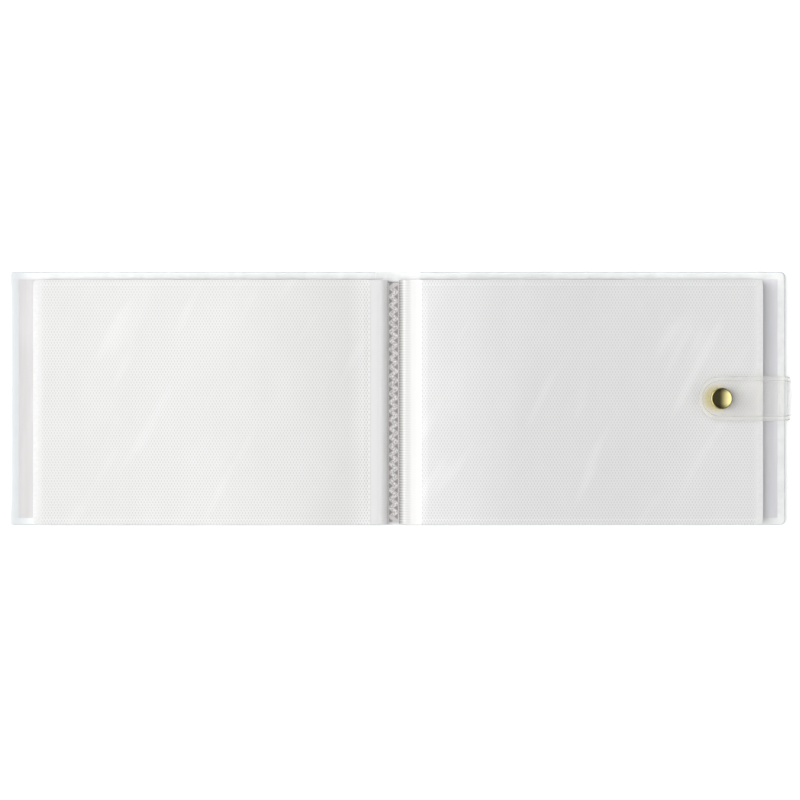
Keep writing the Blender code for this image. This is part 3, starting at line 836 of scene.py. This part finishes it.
def cover_shape(side, sizes):
    """A cover panel: sheet and sealed rim in one, the rim raised and rounded on its three free edges."""
    name = f"{side}_cover"
    low, high = span(*cover_nodes(name))
    sheet_low, sheet_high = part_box(f"{name}_sheet")
    spread, tuck, flare = COVER_SEAL[side]
    near, cut = sorted((abs(low.x), abs(high.x)))
    inside, far = cut - sizes.rim_width - tuck, cut + spread
    deep = sizes.rim_width + 1.0 * MM    # the head and foot rims run in under the pages
    fold_run = 8.0 * MM    # over which they flatten towards the fold
    fold_flat = 0.55    # share of their height lost there
    rim_round = 1.05 * MM
    shape = bmesh.new()
    heights = (low.y, low.y + deep, high.y - deep, high.y)
    columns = [
        [shape.verts.new((reach, y, sheet_low.z)) for y in heights] for reach in (near, inside, far)
    ]
    for left, right in zip(columns, columns[1:]):
        for row in range(3):
            face = shape.faces.new((left[row], right[row], right[row + 1], left[row + 1]))
            face.material_index = 0 if left is columns[0] and row == 1 else 1
    round_off(shape, [columns[2][0], columns[2][3]], COVER_CORNER, 6, "VERTICES")
    top = extrude(shape, shape.faces)
    bmesh.ops.translate(shape, verts=top, vec=(0.0, 0.0, sheet_high.z - sheet_low.z))
    raised = [
        face for face in shape.faces
        if face.material_index == 1 and all(abs(v.co.z - sheet_high.z) < SAME_PLACE for v in face.verts)
    ]
    lifted = extrude(shape, raised)
    bmesh.ops.delete(shape, geom=raised, context="FACES")
    bmesh.ops.translate(shape, verts=lifted, vec=(0.0, 0.0, high.z - sheet_high.z))
    bmesh.ops.recalc_face_normals(shape, faces=shape.faces)
    crest = [
        edge for edge in shape.edges
        if all(abs(v.co.z - high.z) < SAME_PLACE for v in edge.verts)
        and any(abs(face.normal.z) < 0.5 for face in edge.link_faces)
        and any(v.co.x > near + SAME_PLACE for v in edge.verts)
    ]
    round_off(shape, crest, rim_round, 6, clamp=True)
    shape.normal_update()
    for face in shape.faces:
        beyond_fold = face.calc_center_median().x > near + 2.0 * MM
        if face.material_index == 1 and abs(face.normal.z) < 0.8 and beyond_fold:
            face.material_index = 2
    slice_shape(shape, 1, steps(low.y, high.y, 4.0 * MM))
    slice_shape(shape, 0, steps(near, far, 12.0 * MM))
    for vert in shape.verts:
        reach, y, z = vert.co
        outward = max(0.0, reach - inside) / (far - inside)
        reach -= flare * outward * (1.0 - min(1.0, (y / high.y) ** 10))
        if z > sheet_high.z:
            z -= fold_flat * (z - sheet_high.z) * (1.0 - ease((reach - near) / fold_run))
        vert.co = (reach if side == "back" else -reach, y, z)
    return shape


class ALBUM_OT_covers(bpy.types.Operator):
    """Make both cover panels, and finish the pocket flaps and end sheets under the pages"""

    bl_idname = "album.make_covers"
    bl_label = "Make covers"

    def execute(self, context):
        sizes, colours = context.scene.album_sizes, context.scene.album_colours
        rim = sealed_rim()
        edge = clear_vinyl("sealed_pvc_edge", linear("#DFE4E5"), 0.95, 5 * MM)
        card = plain_film("clear_pvc_end_sheet", linear("#E2E2E0"), 0.7, 3.0 * MM, 12.0 * MM)
        # Painted light and shade: one clear sheet in two tones, the back cover's whiter to lift the page
        # block's shadow on its strip, the front's greyer to damp the side light on it
        for side, colour in (("back", colours.vinyl), ("front", linear("#DEDCDC"))):
            name = f"{side}_cover"
            sheet = clear_vinyl(f"clear_pvc_{name}", colour, 0.85, 4 * MM, draw=12.0)
            panel = finish_piece(f"{name}_panel", cover_shape(side, sizes), [sheet, rim, edge])
            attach(panel, name)
            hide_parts(*cover_nodes(name))
            refinish(sheet, f"{name}_flap")
            refinish(card, f"{name}_end_sheet")
        return {"FINISHED"}


class ALBUM_OT_spine(bpy.types.Operator):
    """Finish the spine web and the zigzag binding, and seal the two ends of the spine"""

    bl_idname = "album.make_spine"
    bl_label = "Make spine"

    def execute(self, context):
        sizes, colours = context.scene.album_sizes, context.scene.album_colours
        web = clear_vinyl("clear_pvc_spine", colours.vinyl, 0.6, 10 * MM)
        rim = clear_vinyl("sealed_pvc_spine_end", linear("#FCFDFD"), 0.92, 5 * MM)
        edge = bpy.data.materials["sealed_pvc_edge"]
        refinish(web, "spine_web")
        refinish(fused_band(), "binding_strip")
        for where, outer in (("top", WEB_HIGH.y), ("bottom", WEB_LOW.y)):
            inner = outer - math.copysign(sizes.rim_width + 1.5 * MM, outer)
            seal = finish_piece(f"spine_{where}_seal", spine_seal_shape(inner, outer), [rim, edge])
            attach(seal, "spine")
        return {"FINISHED"}


def web_height(x):
    """Height of the spine web's inner face, which hangs between the fold lines."""
    flat, sheet = 2.0 * MM, 0.4 * MM
    along = min(max(0.0, abs(x) - flat) / (WEB_HIGH.x - flat), 1.0)
    return sheet + (WEB_HIGH.z - sheet) * along ** 2


def spine_seal_shape(inner, outer):
    """A sealed strip across one end of the spine, drawn tighter than the web's curve."""
    overlap, thick, clearance = 0.45 * MM, 0.5 * MM, 0.02 * MM
    tight = 0.6    # 1 would be straight across, 0 the web's own curve
    shape = bmesh.new()
    ends = (WEB_LOW.x - overlap, WEB_HIGH.x + overlap)
    corners = [(ends[0], inner), (ends[1], inner), (ends[1], outer), (ends[0], outer)]
    shape.faces.new([shape.verts.new((x, y, 0.0)) for x, y in corners])
    slice_shape(shape, 0, steps(*ends, 0.7 * MM))
    bmesh.ops.translate(shape, verts=extrude(shape, shape.faces), vec=(0.0, 0.0, thick))
    sides = [
        edge for edge in shape.edges
        if all(vert.co.z > SAME_PLACE for vert in edge.verts)
        and abs(edge.verts[0].co.y - edge.verts[1].co.y) < SAME_PLACE
        and edge.verts[0].co.y in (inner, outer)
    ]
    round_off(shape, sides, 0.4 * MM, 4)
    shape.normal_update()
    for face in shape.faces:
        face.material_index = 1 if abs(face.normal.z) < 0.8 else 0
    for vert in shape.verts:
        vert.co.z += (1.0 - tight) * web_height(vert.co.x) + tight * WEB_HIGH.z + clearance
    return shape


# The strap's middle line: under the cover, round two folds at the fore edge, and back over the page
STRAP_LOW, STRAP_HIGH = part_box("strap_riser")
STRAP_THICK = STRAP_HIGH.x - STRAP_LOW.x
ANCHOR_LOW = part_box("strap_anchor")[0]
TONGUE_LOW, TONGUE_HIGH = span("strap_inner_ply", "strap_outer_ply")
FOLD_RADIUS = 2.0 * MM
TIP_RADIUS = 9.8 * MM
BEND_X = STRAP_HIGH.x - STRAP_THICK / 2 - FOLD_RADIUS
OUT_RUN = BEND_X - ANCHOR_LOW.x
RISE = STRAP_HIGH.z - STRAP_THICK - 2 * FOLD_RADIUS
BACK_RUN = BEND_X - TONGUE_LOW.x
FOLD = FOLD_RADIUS * math.pi / 2
STRAP_LENGTH = OUT_RUN + FOLD + RISE + FOLD + BACK_RUN


def strap_place(run, off):
    """Place and height on the strap at a length from its anchored end, off its middle line outwards."""
    low_z = STRAP_THICK / 2 + FOLD_RADIUS
    high_z = low_z + RISE
    radius = FOLD_RADIUS + off
    if run < OUT_RUN:
        return ANCHOR_LOW.x + run, STRAP_THICK / 2 - off
    run -= OUT_RUN
    if run < FOLD:
        angle = run / FOLD_RADIUS
        return BEND_X + radius * math.sin(angle), low_z - radius * math.cos(angle)
    run -= FOLD
    if run < RISE:
        return BEND_X + radius, low_z + run
    run -= RISE
    if run < FOLD:
        angle = run / FOLD_RADIUS
        return BEND_X + radius * math.cos(angle), high_z + radius * math.sin(angle)
    return BEND_X - (run - FOLD), high_z + radius


def strap_shape(start, end, sizes):
    """One length of the strap: a ribbon with a pressed border between two fine lines, then bent."""
    half = (STRAP_HIGH.y - STRAP_LOW.y) / 2
    weld, line = sizes.strap_weld, 0.3 * MM
    pressed, narrowing = 0.45 * MM, 0.07    # how much thinner the border is, and the folds narrower
    tip = end >= STRAP_LENGTH
    spare = 3 * weld    # cut off again, so that the border runs past the end
    shape = bmesh.new()
    far = end if tip else end + spare
    corners = ((start - spare, -half), (far, -half), (far, half), (start - spare, half))
    verts = [shape.verts.new((run, y, 0.0)) for run, y in corners]
    shape.faces.new(verts)
    shape.normal_update()
    if tip:
        round_off(shape, verts[1:3], TIP_RADIUS, 14, "VERTICES")
    for thickness, finish in ((line, 2), (weld - line, 1), (line, 2)):
        face = max(shape.faces, key=lambda f: f.calc_area())
        ring = bmesh.ops.inset_individual(shape, faces=[face], thickness=thickness, use_even_offset=True)
        for border in ring["faces"]:
            border.material_index = finish
        face.material_index = 0
    slice_shape(shape, 0, [start], clear_inner=True)
    if not tip:
        slice_shape(shape, 0, [end], clear_outer=True)
    folds = [(OUT_RUN, OUT_RUN + FOLD), (OUT_RUN + FOLD + RISE, OUT_RUN + 2 * FOLD + RISE)]
    cuts = steps(start, end, 2.5 * MM)
    for first, last in folds:
        cuts += [first, last] + steps(first, last, 0.35 * MM)
    slice_shape(shape, 0, [cut for cut in cuts if start < cut < end])
    for face in shape.faces:
        if face.material_index < 2 and folds[0][0] < face.calc_center_median().x < folds[1][1]:
            face.material_index = 3

    lower = list(shape.verts)
    upper = extrude(shape, shape.faces)
    for verts, way in ((lower, -0.5), (upper, 0.5)):
        for vert in verts:
            run, y, _ = vert.co
            border = half - abs(y)
            corner = Vector((run - (STRAP_LENGTH - TIP_RADIUS), y))
            if corner.x > 0.0:
                border = min(border, TIP_RADIUS - corner.length)
            thick = STRAP_THICK - pressed * (1.0 - ease(border / weld))
            x, z = strap_place(run, way * thick)
            drawn_in = max(0.0, x - STRAP_HIGH.x + FOLD_RADIUS) / FOLD_RADIUS
            vert.co = (x, y * (1.0 - narrowing * drawn_in ** 2), z)
    return shape


class ALBUM_OT_strap(bpy.types.Operator):
    """Make the clear strap in three lengths that meet between its folds"""

    bl_idname = "album.make_strap"
    bl_label = "Make strap"

    def execute(self, context):
        sizes, colours = context.scene.album_sizes, context.scene.album_colours
        vinyl = clear_vinyl("clear_pvc_strap", colours.strap, 0.1, 9 * MM)
        weld = clear_vinyl("pressed_pvc_strap_border", colours.strap, 0.13, 4 * MM)
        line = clear_vinyl("pressed_pvc_strap_line", linear("#CBC9C2"), 0.32, 4 * MM)
        fold = clear_vinyl("folded_pvc_strap", linear("#F2F4F5"), 0.15, 1.5 * MM, draw=12.0)
        for finish in (vinyl, weld):
            paint_brass_glow_round_snap(finish)
        fold_x, fold_z = STRAP_HIGH.x, STRAP_HIGH.z
        reach, tip_reach = 3.2 * MM, 2.5 * MM    # of the bend to either side of a fold line
        first = OUT_RUN + FOLD + RISE / 2
        past_fold = 3.0 * MM
        second = OUT_RUN + 2 * FOLD + RISE + past_fold
        tip_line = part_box("strap_bridge")[0].x
        lengths = (
            ("strap_foot", 0.0, first, "back_cover", "strap_riser",
             (fold_x - reach, 0.0, 0.0), (fold_x, 0.0, reach), ["strap_anchor"]),
            ("strap_rise", first, second, "strap_riser", "strap_bridge",
             (fold_x, 0.0, fold_z - reach), (fold_x - reach, 0.0, fold_z), ["strap_riser", "strap_bridge"]),
            ("strap_tongue", second, STRAP_LENGTH, "strap_bridge", "strap_tongue",
             (tip_line + tip_reach, 0.0, 0.0), (tip_line - tip_reach, 0.0, 0.0),
             ["strap_inner_ply", "strap_outer_ply"]),
        )
        for name, start, end, body, next_body, before, after, nodes in lengths:
            piece = finish_piece(name, strap_shape(start, end, sizes), [vinyl, weld, line, fold])
            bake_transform(piece)
            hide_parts(*nodes)
        return {"FINISHED"}


class ALBUM_OT_snap(bpy.types.Operator):
    """Make the polished snap cap, and finish the socket, stud and back disc"""

    bl_idname = "album.make_snap"
    bl_label = "Make snap"

    def execute(self, context):
        colours = context.scene.album_colours
        brass = polished_metal("polished_brass", colours.brass, 0.08)
        steel = polished_metal("gold_plated_steel", linear("#CDBB87"), 0.2)
        cap = finish_piece("polished_snap_cap", cap_shape(), [brass])
        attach(cap, "strap_tongue")
        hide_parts("snap_cap")
        refinish(steel, "snap_socket", "snap_stud", "snap_back_disc")
        return {"FINISHED"}


def cap_shape():
    """The snap cap, spun: post, flat underside, rolled rim, and a shallow dish."""
    low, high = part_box("snap_cap")
    centre = (low + high) / 2
    radius = (high.x - low.x) / 2
    under = TONGUE_HIGH.z + 0.3 * MM
    post, rim = 1.5 * MM, 0.55 * MM
    profile = [(0.0, low.z), (post, low.z), (post, under)]
    for turn in range(7):
        angle = math.radians(-90.0 + 120.0 * turn / 6)
        out, up = rim / 2 * math.cos(angle), rim / 2 * math.sin(angle)
        profile.append((radius - rim / 2 + out, under + rim / 2 + up))
    dish, crest = 0.85 * MM, radius - 0.5 * MM
    profile += [(radius - 0.25 * MM, high.z - 0.12 * MM), (crest, high.z)]
    for turn in range(1, 11):
        inward = turn / 10
        profile.append((crest * (1.0 - inward), high.z - dish * (1.0 - (1.0 - inward) ** 2)))
    shape = bmesh.new()
    points = [shape.verts.new((centre.x + r, centre.y, z)) for r, z in profile]
    edges = [shape.edges.new(pair) for pair in zip(points, points[1:])]
    bmesh.ops.spin(
        shape, geom=points + edges, cent=(centre.x, centre.y, 0.0), axis=(0.0, 0.0, 1.0),
        angle=math.tau, steps=72, use_merge=True,
    )
    bmesh.ops.remove_doubles(shape, verts=shape.verts, dist=1e-3 * MM)
    bmesh.ops.dissolve_degenerate(shape, edges=shape.edges, dist=MERGE)
    return shape


class ALBUM_OT_stage(bpy.types.Operator):
    """Set the white table, the soft light and the camera over the album"""

    bl_idname = "album.make_stage"
    bl_label = "Make stage"

    def execute(self, context):
        scene = context.scene
        scene.view_settings.view_transform = "Standard"
        table = bmesh.new()
        bmesh.ops.create_grid(table, x_segments=1, y_segments=1, size=2.0)
        floor = finish_piece("table_top", table, [white_table()], smooth=False)

        # A room that is dark but for one wide window on the left, for the snap to reflect
        world = bpy.data.worlds.new("soft_studio")
        world.use_nodes = True
        tree = world.node_tree
        rays = add_node(tree, "ShaderNodeLightPath")
        way = add_node(tree, "ShaderNodeTexCoord").outputs["Generated"]
        split = add_node(tree, "ShaderNodeSeparateXYZ", {0: way})
        room = add_node(
            tree, "ShaderNodeMapRange",
            {
                "Value": split.outputs["X"], "From Min": 0.25, "From Max": -0.65,
                "To Min": 0.08, "To Max": 2.2,
            },
            interpolation_type="SMOOTHSTEP",
        )
        aside = add_node(tree, "ShaderNodeMath", {0: split.outputs["Y"]}, operation="ABSOLUTE")
        pane = add_node(
            tree, "ShaderNodeMapRange",
            {"Value": aside.outputs[0], "From Min": 0.35, "From Max": 0.7, "To Min": 1.0, "To Max": 0.25},
            interpolation_type="SMOOTHSTEP",
        )
        window = add_node(
            tree, "ShaderNodeMath",
            {0: room.outputs["Result"], 1: pane.outputs["Result"]}, operation="MULTIPLY",
        )
        level = add_node(
            tree, "ShaderNodeMix",
            {"Factor": rays.outputs["Is Camera Ray"], "A": window.outputs[0], "B": 1.0},
        )
        fill_sockets(tree.nodes["Background"], {
            "Color": (1.0, 1.0, 1.0, 1.0), "Strength": level.outputs["Result"],
        })
        scene.world = world

        lamps = (
            ("left_softbox", (-1.2, 0.2, 0.6), 0.8, 9.5),
            ("overhead_softbox", (-0.2, 0.0, 1.9), 1.4, 6.0),
            ("right_softbox", (1.3, -0.2, 0.9), 1.0, 8.5),
        )
        for name, place, size, energy in lamps:
            lamp = bpy.data.lights.new(name, "AREA")
            lamp.shape = "SQUARE"
            lamp.size = size
            lamp.energy = energy
            light = bpy.data.objects.new(name, lamp)
            light.location = place
            light.rotation_euler = (-Vector(place)).to_track_quat("-Z", "Y").to_euler()
            light.visible_glossy = name == "left_softbox"    # keeps squares out of the snap's dish
            scene.collection.objects.link(light)

        camera = bpy.data.cameras.new("over_the_album")
        distance, view_width = 1.6, 0.368
        off_x, off_y = 0.92 * MM, -0.69 * MM    # the album is a little off the picture's middle
        camera.sensor_width = 36.0
        camera.lens = camera.sensor_width * (distance - PAGE_HIGH.z) / view_width
        over = bpy.data.objects.new("over_the_album", camera)
        over.location = (off_x, off_y, distance)
        scene.collection.objects.link(over)
        scene.camera = over
        return {"FINISHED"}


class ALBUM_PT_panel(bpy.types.Panel):
    """Sidebar panel with the album's settings and a button for each of its pieces"""

    bl_label = "Pocket photo album"
    bl_idname = "ALBUM_PT_panel"
    bl_space_type = "VIEW_3D"
    bl_region_type = "UI"
    bl_category = "Album"

    def draw(self, context):
        layout = self.layout
        for group in (context.scene.album_sizes, context.scene.album_colours):
            for name in group.__annotations__:
                layout.prop(group, name)
        for operator in OPERATORS:
            layout.operator(operator.bl_idname)


OPERATORS = (
    ALBUM_OT_covers,
    ALBUM_OT_spine,
    ALBUM_OT_leaves,
    ALBUM_OT_strap,
    ALBUM_OT_snap,
    ALBUM_OT_stage,
)
CLASSES = (AlbumSizes, AlbumColours, *OPERATORS, ALBUM_PT_panel)


def register():
    """Add the album's classes and its settings to Blender."""
    for cls in CLASSES:
        bpy.utils.register_class(cls)
    bpy.types.Scene.album_sizes = PointerProperty(type=AlbumSizes)
    bpy.types.Scene.album_colours = PointerProperty(type=AlbumColours)


def unregister():
    """Take them away again."""
    del bpy.types.Scene.album_colours
    del bpy.types.Scene.album_sizes
    for cls in reversed(CLASSES):
        bpy.utils.unregister_class(cls)


def main():
    """Make the album and its stage."""
    register()
    bpy.ops.album.make_covers()
    bpy.ops.album.make_spine()
    bpy.ops.album.make_leaves()
    bpy.ops.album.make_strap()
    bpy.ops.album.make_snap()
    bpy.ops.album.make_stage()


if __name__ == "__main__":
    main()
